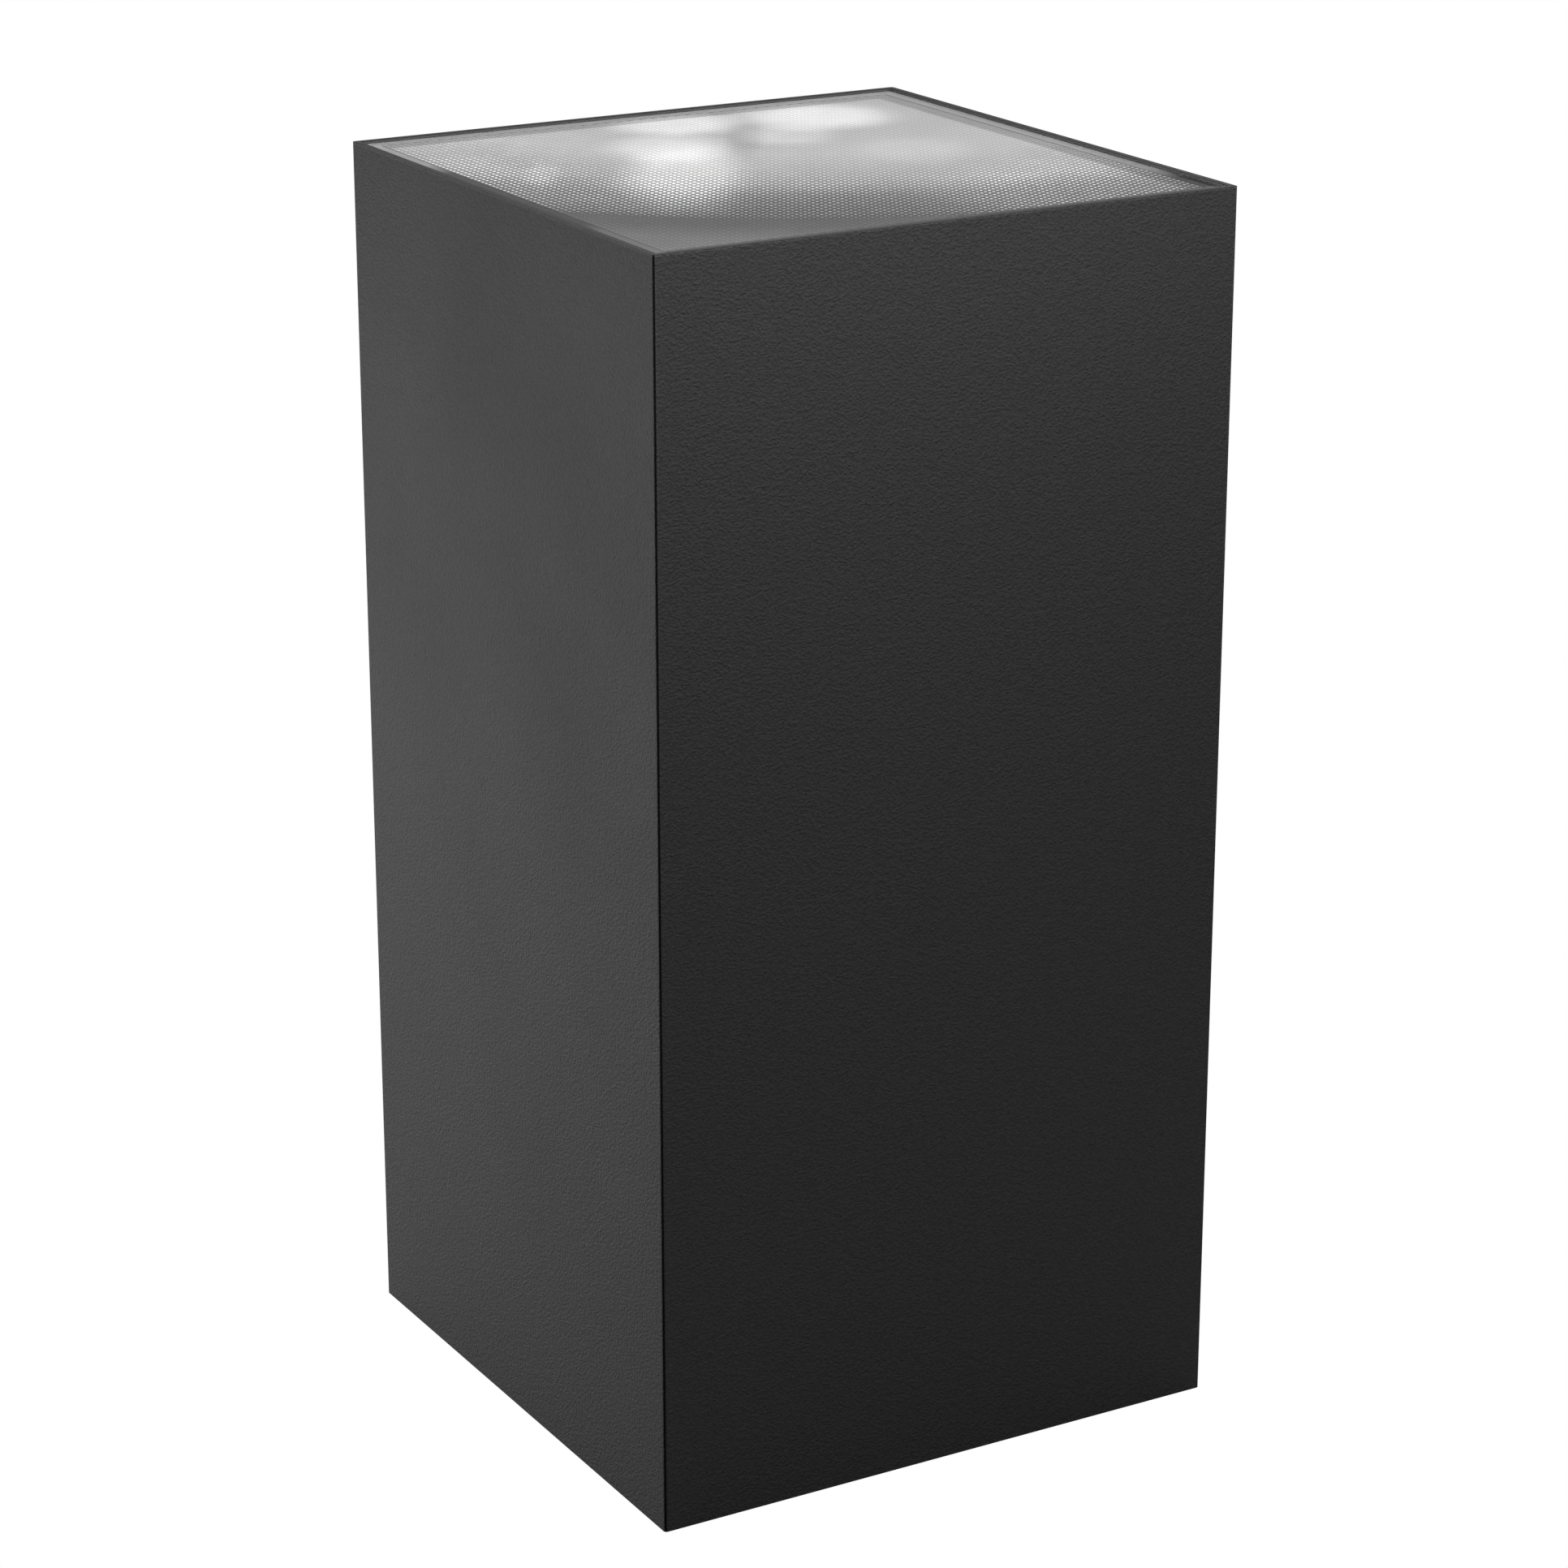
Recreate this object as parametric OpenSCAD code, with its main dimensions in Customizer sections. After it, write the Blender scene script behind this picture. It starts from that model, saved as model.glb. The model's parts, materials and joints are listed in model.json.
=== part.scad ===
// Square bollard light: a plain box housing that lifts off a bolted base, with a flush
// prismatic lens in its top.
// Origin at the centre of the underside, +Z up, millimetres.

/* [Housing] */
// Outside width of the square housing
body_w = 150; // [146:1:160]
// Height of the rim above the ground
body_h = 300; // [290:5:600]
// Thickness of the housing wall
wall_t = 1.6; // [1.4:0.1:2]
// Outside radius of the upright corners
corner_r = 0.8; // [0.4:0.1:1.2]
// Gap under the lower edge of the housing
skirt_gap = 0.5; // [0.3:0.1:1.5]

/* [Base] */
// Thickness of the rubber ground pad
pad_t = 2; // [1.5:0.5:3]
// Thickness of the cast base plate
plate_t = 6; // [5:0.5:8]
// Spacing of the anchor slots, both ways
anchor_spacing = 100; // [96:1:102]
// Width of an anchor slot, for an M8 bolt
anchor_slot_w = 9; // [8.5:0.5:10]
// End-to-end length of an anchor slot
anchor_slot_l = 18; // [14:1:20]
// Diameter of the cable opening in the base plate
cable_opening_d = 56; // [54:1:60]
// Height of the four side brackets
bracket_h = 42; // [38:1:44]

/* [Cable glands] */
// Distance of each gland from the middle
gland_x = 18; // [17:0.5:18.5]
// Diameter of the hole through the gland's seal
gland_bore_d = 12.5; // [8:0.5:13]

/* [Gear] */
// Width of the upright gear tray
tray_w = 70; // [66:1:74]
// Height of the tray's top edge above the ground
tray_top = 222; // [221:1:224]
// Width of the driver
driver_w = 48; // [44:1:52]
// Length of the driver along the tray
driver_l = 105; // [100:1:106]
// Depth of the driver in front of the tray
driver_d = 32; // [28:1:34]

/* [Terminal block] */
// Spacing of the poles
pole_pitch = 11; // [10:0.5:11]
// Diameter of a wire port
port_d = 4; // [3:0.5:4]

/* [Head] */
// Thickness of the lens
lens_t = 3; // [2:0.5:4]
// Depth of the lens face below the rim
lens_recess = 0.6; // [0.3:0.1:1.5]
// Width of the pale seal under the edge of the lens
seal_w = 3.3; // [2.5:0.1:4.5]
// Thickness of that seal
seal_t = 2; // [1:0.5:3]
// Radius of the reflector's mouth
reflector_r = 60; // [55:1:62]
// Number of heat sink fins
fin_count = 11; // [7:1:13]

/* [Hidden] */
$fn = 48;

tiny = 0.01;
// Gap between a fastener or a fitted piece and its hole
fit_gap = 0.1;
// Gap between pieces that slide past each other
slide_gap = 0.3;

inner_half = body_w / 2 - wall_t;

// Screws: radius of the shank, and [radius, height] of the head
m5_r = 2.5;
m5_head = [4.4, 3];
m4_r = 2;
m4_head = [3.6, 2.4];
m3_r = 1.5;
m3_head = [2.7, 2];
m3_low_head = [2.7, 1.4];

// Base
plate_gap = 0.6;
plate_w = 2 * (inner_half - plate_gap);
plate_corner = 3;
pad_inset = 1;
pad_slot_margin = 2;
deck_z = pad_t + plate_t;
foot_t = 2;
foot_top = deck_z + foot_t;
// Floor left under the blind screw holes, and air under the screws in them
blind_floor = 1;
blind_air = 0.5;
blind_depth = foot_t + plate_t - blind_floor - blind_air;

// Side brackets, and the nuts and screws that bear on them
nut_t = 4;
nut_w = 9;
grub_gap = 0.5;
bracket_face = inner_half - nut_t - grub_gap;
bracket_w = 30;
bracket_foot = 20;
bracket_top = deck_z + bracket_h;
bracket_screw_x = 9;
grub_z = 30;
grub_x = 8;
grub_r = m5_r;
grub_sink = 0.3;
grub_key = 2.5;
tab_w = 24;
tab_t = 2;
tab_reach = 9;
tab_h = 12;

// Gland bridge
bridge_t = 2;
bridge_w = 70;
bridge_foot = 12;
bridge_front = -24;
bridge_back = 50;
leg_back = 36;
shelf_z = 34;
shelf_top = shelf_z + bridge_t;
gland_thread_r = 10;
gland_thread_h = 9;
gland_hex = 24;
gland_hex_h = 8;
gland_nut_h = 15;
gland_nose_h = 4;
gland_nose_r = 9.5;
locknut_h = 5;
seal_r = 8.5;
seal_h = 14;

// Gear tray
tray_y = 46;
tray_t = 1.5;
tray_foot = 12;
tray_screw_x = 0.36 * tray_w;
grommet_r = 3.5;
grommet_lip = 1;
lead_r = 1.5;

// Driver
driver_z = 100;
driver_wall = 1.5;
cover_t = 2;
driver_tab = 6;
driver_tab_w = 16;
driver_tab_t = 2;
board_t = 1.6;
standoff = 4;
board_y = tray_y - driver_wall - standoff - board_t;
output_x = -6;
output_y = tray_y - 10;
output_z = driver_z + driver_l + driver_tab + grommet_r + grommet_lip + 0.5;
output_r = 2;
bend_r = 6;

// Terminal block
poles = [-pole_pitch, 0, pole_pitch];
cheek_t = 1.4;
block_half = 1.5 * pole_pitch + cheek_t / 2;
block_y = 24;
block_z = 60;
block_h = 24;
block_top = block_z + block_h;
ear_w = 7.5;
cheek_depth = 4.5;
pivot_y = 21.6;
pivot_z = 80;
pivot_r = 1.22;
pivot_hole_r = 1.3;
barrel_r = 1.9;
lever_t = 2.4;
lip_h = 2.5;
lip_reach = 2;
lever_w = pole_pitch - cheek_t - 2 * slide_gap;
port_y = 36;
contact_y = port_y + 1;
contact_w = 5;
contact_inset = 3;
block_ear_t = 3;

// Surge protector
surge_w = 26;
surge_d = 14.5;
surge_z = 66;
surge_h = 44;
surge_x = -5;
surge_hole_z = 50;
surge_bend = 4;
surge_rim = 2;
surge_ear = 8;
surge_ear_t = 2.5;

// Earth stud
stud_x = 28;
stud_z = 52;
stud_head_r = 4;
stud_head_t = 1.5;
stud_reach = 12;
stud_nut = 7;
stud_nut_h = 3;
washer_t = 0.8;
lug_y = 41.5;
lug_t = 1.5;
lug_r = 4.4;
earth_r = 1.2;
earth_bend = 2;

// Plug and socket between the gear and the head
plug_x = -20;
plug_y = 54;
plug_w = 8;
socket_z = 165;
socket_h = 25;
socket_half = 15;
socket_d = 13;
socket_tab_w = 10;
socket_tab_h = 8;
socket_tab_t = 2.5;
socket_screw_z = socket_z - 4;
plug_depth = 16;
plug_h = 38;
collar_h = 12;
collar_w = plug_w + 3;
boot_r = 4;
head_lead_r = 2.5;
plug_z = socket_z + socket_h - plug_depth;

// Head, measured down from the lens face
lens_top = body_h - lens_recess;
lens_z = lens_top - lens_t;
seal_z = lens_z - seal_t;
lens_w = 2 * (inner_half - slide_gap);
lens_corner = 1;
seal_half = lens_w / 2 - 0.5;
reflector_t = 1;
rim_top = seal_z - reflector_t;
rim_half = inner_half - 0.5;
rim_wall = 4.9;
rim_h = 8.4;
flange_t = 3;
flange_z = rim_top - rim_h;
tub_half = 62.4;
tub_wall = 2.5;
tub_depth = 30;
tub_z = flange_z - tub_depth;
floor_t = 3;
floor_top = tub_z + floor_t;
ledge_t = 2;
ledge_w = 10;
ledge_leg = 13;
ledge_leg_t = 1.5;
boss_r = 5;
boss_inset = 6.4;
head_screw_xy = rim_half - boss_inset;
head_screw_reach = 6.5;
pad_thick = 0.5;
chip_z = floor_top + pad_thick;
chip_w = 22;
chip_t = 1.2;
phosphor_r = 9;
phosphor_t = 0.6;
holder_h = 3.1;
holder_r = 21;
holder_screw_x = 16.5;
holder_sink = 1.5;
wire_r = 0.8;
wire_x = 1.2;
neck_r = 17;
neck_z = chip_z + holder_h + reflector_t + slide_gap;
bowl_h = seal_z - neck_z;
sink_base_t = 4;
sink_w = 96;
fin_h = 18;
fin_t = 1.8;
fin_span = 76;
sink_z = tub_z - sink_base_t;
sink_screw_x = fin_span / 2 + 5.5;
sink_screw_y = sink_w / 2 - 8;
vent_x = 54;
vent_r = 3;
vent_head = [5.4, 4];
lead_gland_r = 3.5;
lead_gland_head = [4.8, 6];

// ---- shapes that repeat ----

// Square outline of side w with corners of radius r
module rounded_square(w, r) {
    square([w - 2 * r, w], center = true);
    square([w, w - 2 * r], center = true);
    for (x = [-1, 1], y = [-1, 1]) translate([x, y] * (w / 2 - r)) circle(r);
}

// Square frame between two half widths, of height h
module square_ring(outer_half, inner_half_w, h) {
    linear_extrude(h) difference() {
        square(2 * outer_half, center = true);
        square(2 * inner_half_w, center = true);
    }
}

// Copies the children to the four corners of a square
module at_corners(x, y) {
    for (i = [-1, 1], j = [-1, 1]) translate([i * x, j * y, 0]) children();
}

// Copies the children to the four sides, facing outwards along +X
module on_sides() {
    for (a = [0:90:270]) rotate(a) children();
}

// Hexagonal prism with the given width across flats
module hex_prism(flats, h) {
    cylinder(r = flats / sqrt(3), h = h, $fn = 6);
}

// Screw with a domed socket head above z = 0, of [radius, height], and its shank below
module cap_screw(r, head, shank) {
    side_h = head[1] * 0.6;
    difference() {
        union() {
            cylinder(r = head[0], h = side_h);
            translate([0, 0, side_h]) cylinder(r1 = head[0], r2 = head[0] * 0.7, h = head[1] - side_h);
            translate([0, 0, -shank]) cylinder(r = r, h = shank);
        }
        translate([0, 0, head[1] * 0.4]) hex_prism(r * 1.3, head[1]);
    }
}

// Quarter bend of a lead, from the origin along +X, turning towards +Y
module bend(r, turn) {
    translate([0, turn, 0]) rotate(-90) rotate_extrude(angle = 90) translate([turn, 0]) circle(r);
}

// Straight lead of length l along +Z
module lead(r, l) {
    cylinder(r = r, h = l);
}

// ---- base ----

// Outlines of the four anchor slots, grown by a margin all round
module anchor_slots(margin) {
    travel = anchor_slot_l - anchor_slot_w;
    slot_w = anchor_slot_w + 2 * margin;
    for (i = [-1, 1], j = [-1, 1]) translate([i, j] * anchor_spacing / 2) {
        square([travel, slot_w], center = true);
        for (k = [-1, 1]) translate([k * travel / 2, 0]) circle(d = slot_w);
    }
}

module ground_pad() {
    color("black") linear_extrude(pad_t) difference() {
        square(plate_w - 2 * pad_inset, center = true);
        circle(d = cable_opening_d);
        anchor_slots(pad_slot_margin);
    }
}

module base_plate() {
    color("silver") difference() {
        translate([0, 0, pad_t]) linear_extrude(plate_t) difference() {
            rounded_square(plate_w, plate_corner);
            circle(d = cable_opening_d);
            anchor_slots(0);
        }
        translate([0, 0, pad_t + blind_floor]) {
            on_sides() bracket_screw_places() cylinder(r = m5_r + fit_gap, h = plate_t);
            bridge_screw_places() cylinder(r = m4_r + fit_gap, h = plate_t);
        }
    }
}

// The two screw places in the foot of the bracket on the +X side
module bracket_screw_places() {
    x = bracket_face - bracket_foot * 0.6;
    for (j = [-1, 1]) translate([x, j * bracket_screw_x, 0]) children();
}

module side_brackets() {
    color("lightgray") on_sides() difference() {
        translate([0, -bracket_w / 2, deck_z]) {
            translate([bracket_face - bracket_foot, 0, 0]) cube([bracket_foot, bracket_w, foot_t]);
            translate([bracket_face - foot_t, 0, 0]) cube([foot_t, bracket_w, bracket_h]);
        }
        translate([0, 0, deck_z - 1]) bracket_screw_places() cylinder(r = m5_r + fit_gap, h = foot_t + 2);
    }
}

module bracket_screws() {
    color("silver") on_sides() bracket_screw_places()
        translate([0, 0, foot_top]) cap_screw(m5_r, m5_head, blind_depth);
}

// ---- cable glands ----

module bridge_screw_places() {
    for (i = [-1, 1], y = [bridge_front + 10, leg_back - 10])
        translate([i * (bridge_w + bridge_foot) / 2, y, 0]) children();
}

module gland_places() {
    for (i = [-1, 1]) translate([i * gland_x, 0, 0]) children();
}

module gland_bridge() {
    leg_len = leg_back - bridge_front;
    color("lightgray") difference() {
        union() {
            translate([-bridge_w / 2, bridge_front, shelf_z])
                cube([bridge_w, bridge_back - bridge_front, bridge_t]);
            for (s = [0, 1]) mirror([s, 0, 0]) translate([bridge_w / 2, bridge_front, deck_z]) {
                translate([-bridge_t, 0, 0]) cube([bridge_t, leg_len, shelf_top - deck_z]);
                translate([-bridge_t, 0, 0]) cube([bridge_t + bridge_foot, leg_len, foot_t]);
            }
        }
        translate([0, 0, deck_z - 1]) bridge_screw_places() cylinder(r = m4_r + fit_gap, h = foot_t + 2);
        translate([0, 0, shelf_z - 1]) {
            gland_places() cylinder(r = gland_thread_r + fit_gap, h = bridge_t + 2);
            tray_screw_places() cylinder(r = m4_r + fit_gap, h = bridge_t + 2);
        }
    }
}

module bridge_screws() {
    color("silver") bridge_screw_places()
        translate([0, 0, foot_top]) cap_screw(m4_r, m4_head, blind_depth);
}

// Threaded body of a gland: hexagon under the shelf, thread up through it
module gland_bodies() {
    color("dimgray") gland_places() difference() {
        union() {
            translate([0, 0, shelf_z - gland_hex_h]) hex_prism(gland_hex, gland_hex_h);
            translate([0, 0, shelf_z - tiny]) cylinder(r = gland_thread_r, h = gland_thread_h);
        }
        translate([0, 0, shelf_z - gland_hex_h - 1])
            cylinder(r = seal_r + fit_gap, h = seal_h / 2 + 1 + fit_gap);
        translate([0, 0, shelf_z - gland_hex_h]) cylinder(d = gland_bore_d + 1, h = 30);
    }
}

// Dome nut that closes the gland around the cable
module gland_nuts() {
    nut_top = shelf_z - gland_hex_h;
    color("dimgray") gland_places() difference() {
        translate([0, 0, nut_top - gland_nut_h]) union() {
            translate([0, 0, gland_nose_h]) hex_prism(gland_hex, gland_nut_h - gland_nose_h);
            cylinder(r1 = gland_nose_r, r2 = gland_hex / 2, h = gland_nose_h + tiny);
        }
        translate([0, 0, nut_top - seal_h / 2 - fit_gap]) cylinder(r = seal_r + fit_gap, h = seal_h);
        translate([0, 0, nut_top - gland_nut_h - 1]) cylinder(d = gland_bore_d + 1, h = gland_nut_h);
    }
}

module gland_seals() {
    color("black") gland_places() translate([0, 0, shelf_z - gland_hex_h - seal_h / 2])
        difference() {
            cylinder(r = seal_r, h = seal_h);
            translate([0, 0, -1]) cylinder(d = gland_bore_d, h = seal_h + 2);
        }
}

module gland_locknuts() {
    color("dimgray") gland_places() translate([0, 0, shelf_top]) difference() {
        hex_prism(gland_hex, locknut_h);
        translate([0, 0, -1]) cylinder(r = gland_thread_r + fit_gap, h = locknut_h + 2);
    }
}

// ---- gear tray ----

module tray_screw_places() {
    for (i = [-1, 1]) translate([i * tray_screw_x, tray_y - tray_foot / 2, 0]) children();
}

// Turns the children so that their +Z points along -Y, out of the tray's front face
module from_tray_front(x, z) {
    translate([x, tray_y, z]) rotate([90, 0, 0]) children();
}

// Turns the children so that their +Z points along +Y, out of the tray's back face
module from_tray_back(x, z) {
    translate([x, tray_y + tray_t, z]) rotate([-90, 0, 0]) children();
}

module gear_tray() {
    color("lightgray") difference() {
        union() {
            translate([-tray_w / 2, tray_y, shelf_top]) cube([tray_w, tray_t, tray_top - shelf_top]);
            translate([-tray_w / 2, tray_y - tray_foot, shelf_top]) cube([tray_w, tray_foot, tray_t]);
        }
        translate([0, 0, shelf_top - 1]) tray_screw_places() cylinder(r = m4_r + fit_gap, h = tray_t + 2);
        tray_hole(output_x, output_z, grommet_r);
        tray_hole(surge_x, surge_hole_z, grommet_r);
        tray_hole(stud_x, stud_z, m4_r + fit_gap);
        driver_screw_places() tray_hole(0, 0, m3_r + fit_gap);
        terminal_screw_places() tray_hole(0, 0, m3_r + fit_gap);
        surge_screw_places() tray_hole(0, 0, m3_r + fit_gap);
        tray_hole(plug_x, socket_screw_z, m3_r + fit_gap);
    }
}

// Cutter for a round hole through the tray
module tray_hole(x, z, r) {
    translate([x, tray_y - 1, z]) rotate([-90, 0, 0]) cylinder(r = r, h = tray_t + 2);
}

module tray_screws() {
    color("silver") tray_screw_places()
        translate([0, 0, shelf_top + tray_t]) cap_screw(m4_r, m4_head, tray_t + bridge_t + 1);
}

// Rubber grommet in each lead hole
module grommets() {
    color("black") for (p = [[output_x, output_z, output_r], [surge_x, surge_hole_z, lead_r]])
        from_tray_front(p[0], p[1]) difference() {
            union() {
                translate([0, 0, -tray_t]) cylinder(r = grommet_r - fit_gap / 2, h = tray_t);
                cylinder(r = grommet_r + grommet_lip, h = grommet_lip);
            }
            translate([0, 0, -tray_t - 1]) cylinder(r = p[2] + fit_gap, h = tray_t + 3);
        }
}

// ---- terminal block ----

module terminal_screw_places() {
    for (i = [-1, 1]) translate([i * (block_half + ear_w / 2), 0, block_z + block_h / 2]) children();
}

module terminal_block() {
    ear_h = 9;
    depth = tray_y - block_y;
    color("orange") difference() {
        union() {
            translate([-block_half, block_y, block_z]) cube([2 * block_half, depth, block_h]);
            for (i = [-1.5:1:1.5])
                translate([i * pole_pitch - cheek_t / 2, block_y - cheek_depth, block_z + 2])
                    cube([cheek_t, cheek_depth + tiny, block_h - 2]);
            translate([-block_half - ear_w, tray_y - block_ear_t, block_z + (block_h - ear_h) / 2])
                cube([2 * (block_half + ear_w), block_ear_t, ear_h]);
        }
        translate([-body_w / 2, pivot_y, pivot_z]) rotate([0, 90, 0]) cylinder(r = pivot_hole_r, h = body_w);
        for (x = poles) translate([x, 0, 0]) {
            translate([0, port_y, block_z - 1]) cylinder(d = port_d, h = 15);
            contact_bar(fit_gap, tray_y + 1);
        }
        terminal_screw_places() tray_hole_front(block_ear_t);
    }
}

// Cutter for a screw hole of depth t in a piece on the tray's front face
module tray_hole_front(t) {
    from_tray_front(0, 0) translate([0, 0, -1]) cylinder(r = m3_r + fit_gap, h = t + 2);
}

// Brass bar behind one pole's wire port, grown by a gap at the sides and reaching back to back_y
module contact_bar(gap, back_y) {
    w = contact_w + 2 * gap;
    h = block_h - 2 * contact_inset + 2 * gap;
    translate([-w / 2, contact_y, block_z + contact_inset - gap]) cube([w, back_y - contact_y, h]);
}

module terminal_contacts() {
    color("gold") for (x = poles) translate([x, 0, 0]) contact_bar(0, tray_y - 2 * fit_gap);
}

module terminal_screws() {
    color("silver") terminal_screw_places() from_tray_front(0, 0) translate([0, 0, block_ear_t])
        cap_screw(m3_r, m3_head, block_ear_t + tray_t + 1);
}

// Clamp lever of one pole: barrel with two stub pins, and an arm with a finger lip
module clamp_lever(x) {
    arm = pivot_z - block_z - 4;
    stub = lever_w / 2 + slide_gap + 0.5;
    translate([x, pivot_y, pivot_z]) {
        rotate([0, 90, 0]) translate([0, 0, -stub]) cylinder(r = pivot_r, h = 2 * stub);
        rotate([0, 90, 0]) translate([0, 0, -lever_w / 2]) cylinder(r = barrel_r, h = lever_w);
        translate([-lever_w / 2, -barrel_r, -arm]) cube([lever_w, lever_t, arm]);
        translate([-lever_w / 2, -barrel_r - lip_reach, -arm])
            cube([lever_w, lip_reach + tiny, lip_h]);
    }
}

module live_lever() {
    color("orangered") clamp_lever(poles[0]);
}

module neutral_lever() {
    color("orangered") clamp_lever(poles[1]);
}

module earth_lever() {
    color("orangered") clamp_lever(poles[2]);
}

// ---- driver ----

module driver_screw_places() {
    for (z = [driver_z - driver_tab / 2, driver_z + driver_l + driver_tab / 2])
        translate([0, 0, z]) children();
}

module driver_case() {
    tub_y = tray_y - driver_d + cover_t;
    tub_d = driver_d - cover_t;
    color("white") difference() {
        union() {
            translate([-driver_w / 2, tub_y, driver_z]) cube([driver_w, tub_d, driver_l]);
            translate([-driver_tab_w / 2, tray_y - driver_tab_t, driver_z - driver_tab])
                cube([driver_tab_w, driver_tab_t, driver_l + 2 * driver_tab]);
        }
        translate([-driver_w / 2 + driver_wall, tub_y - 1, driver_z + driver_wall])
            cube([driver_w - 2 * driver_wall, tub_d - driver_wall + 1, driver_l - 2 * driver_wall]);
        driver_screw_places() tray_hole_front(driver_tab_t);
    }
}

module driver_cover() {
    color("whitesmoke") translate([-driver_w / 2, tray_y - driver_d, driver_z])
        cube([driver_w, cover_t, driver_l]);
}

module driver_board() {
    margin = driver_wall + 1;
    color("green") union() {
        translate([-driver_w / 2 + margin, board_y, driver_z + margin])
            cube([driver_w - 2 * margin, board_t, driver_l - 2 * margin]);
        translate([0, board_y + board_t, driver_z + driver_l / 2]) rotate([-90, 0, 0])
            for (i = [-1, 1], j = [-1, 1]) translate([i * driver_w * 0.36, j * driver_l * 0.42, 0])
                cylinder(r = 2, h = standoff);
    }
}

module driver_transformer() {
    core = [22, 19, 6];
    gap = 12;
    color("goldenrod") translate([-core[0] / 2, board_y - core[1], driver_z + driver_l * 0.45]) union() {
        for (z = [0, core[2] + gap]) translate([0, 0, z]) cube(core);
        translate([core[0] / 2, core[1] / 2, core[2] - 1]) cylinder(r = 8.5, h = gap + 2);
    }
}

module driver_capacitors() {
    color("midnightblue") for (x = [-13, 0, 13]) translate([x, board_y, driver_z + driver_l * 0.22])
        rotate([90, 0, 0]) cylinder(r = 5, h = 18);
}

module driver_screws() {
    color("silver") driver_screw_places() from_tray_front(0, 0) translate([0, 0, driver_tab_t])
        cap_screw(m3_r, m3_head, driver_tab_t + tray_t - fit_gap);
}

// Leads from the terminal block up to the driver
module input_leads() {
    color("saddlebrown") for (x = poles) translate([x, tray_y - 10, block_top])
        lead(lead_r, driver_z - block_top);
}

// Lead from the driver's top, over through the tray and down to the socket
module output_lead() {
    rise = output_z - bend_r - driver_z - driver_l;
    color("black") translate([output_x, output_y, driver_z + driver_l]) {
        lead(output_r, rise);
        translate([0, 0, rise]) rotate([90, 0, 90]) rotate([0, 0, 90]) mirror([0, 1, 0])
            bend(output_r, bend_r);
    }
    color("black") translate([output_x, output_y + bend_r, output_z]) rotate([-90, 0, 0])
        lead(output_r, plug_y - output_y - 2 * bend_r);
    color("black") translate([output_x, plug_y - bend_r, output_z]) rotate([90, 0, 90])
        mirror([0, 1, 0]) bend(output_r, bend_r);
    color("black") translate([output_x, plug_y, socket_z + socket_h])
        lead(output_r, output_z - bend_r - socket_z - socket_h);
}

// ---- surge protector ----

module surge_screw_places() {
    x = (surge_w + surge_ear) / 2;
    for (i = [-1, 1]) translate([i * x, 0, surge_z + surge_h / 2]) children();
}

module surge_protector() {
    color("gray") difference() {
        union() {
            translate([-surge_w / 2, tray_y + tray_t, surge_z])
                cube([surge_w, surge_d - surge_rim, surge_h]);
            translate([-surge_w / 2 + surge_rim, tray_y + tray_t, surge_z + surge_rim])
                cube([surge_w - 2 * surge_rim, surge_d, surge_h - 2 * surge_rim]);
            translate([-surge_w / 2 - surge_ear, tray_y + tray_t, surge_z + surge_h / 2 - 5])
                cube([surge_w + 2 * surge_ear, surge_ear_t, 10]);
        }
        surge_screw_places() from_tray_back(0, 0) translate([0, 0, -1])
            cylinder(r = m3_r + fit_gap, h = surge_ear_t + 2);
    }
}

module surge_screws() {
    color("silver") surge_screw_places() from_tray_back(0, 0) translate([0, 0, surge_ear_t])
        cap_screw(m3_r, m3_head, surge_ear_t + tray_t);
}

// Lead from the surge protector's foot, forward through the tray and up to the block
module surge_lead() {
    back_y = tray_y + tray_t + surge_d / 2;
    drop = surge_z - surge_hole_z - surge_bend;
    color("black") translate([surge_x, back_y, surge_hole_z + surge_bend]) lead(lead_r, drop);
    color("black") translate([surge_x, back_y - surge_bend, surge_hole_z]) rotate([90, 0, 90])
        bend(lead_r, surge_bend);
    color("black") translate([surge_x, port_y + surge_bend, surge_hole_z]) rotate([-90, 0, 0])
        lead(lead_r, back_y - port_y - 2 * surge_bend);
    color("black") translate([surge_x, port_y + surge_bend, surge_hole_z]) rotate([90, 0, -90])
        bend(lead_r, surge_bend);
    color("black") translate([surge_x, port_y, surge_hole_z + surge_bend])
        lead(lead_r, block_z - surge_hole_z - surge_bend);
}

// ---- earth connection ----

module earth_stud() {
    color("silver") from_tray_front(stud_x, stud_z) union() {
        translate([0, 0, -tray_t - stud_head_t]) {
            cylinder(r = m4_r, h = stud_head_t + tray_t + stud_reach);
            cylinder(r = stud_head_r, h = stud_head_t);
        }
    }
}

// Two nuts and a washer that clamp the lug
module earth_nuts() {
    back_nut = tray_y - lug_y - lug_t;
    color("silver") from_tray_front(stud_x, stud_z) difference() {
        union() {
            hex_prism(stud_nut, back_nut);
            translate([0, 0, back_nut + lug_t]) cylinder(r = lug_r, h = washer_t);
            translate([0, 0, back_nut + lug_t + washer_t]) hex_prism(stud_nut, stud_nut_h);
        }
        translate([0, 0, -1]) cylinder(r = m4_r + fit_gap, h = stud_reach + 2);
    }
}

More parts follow.
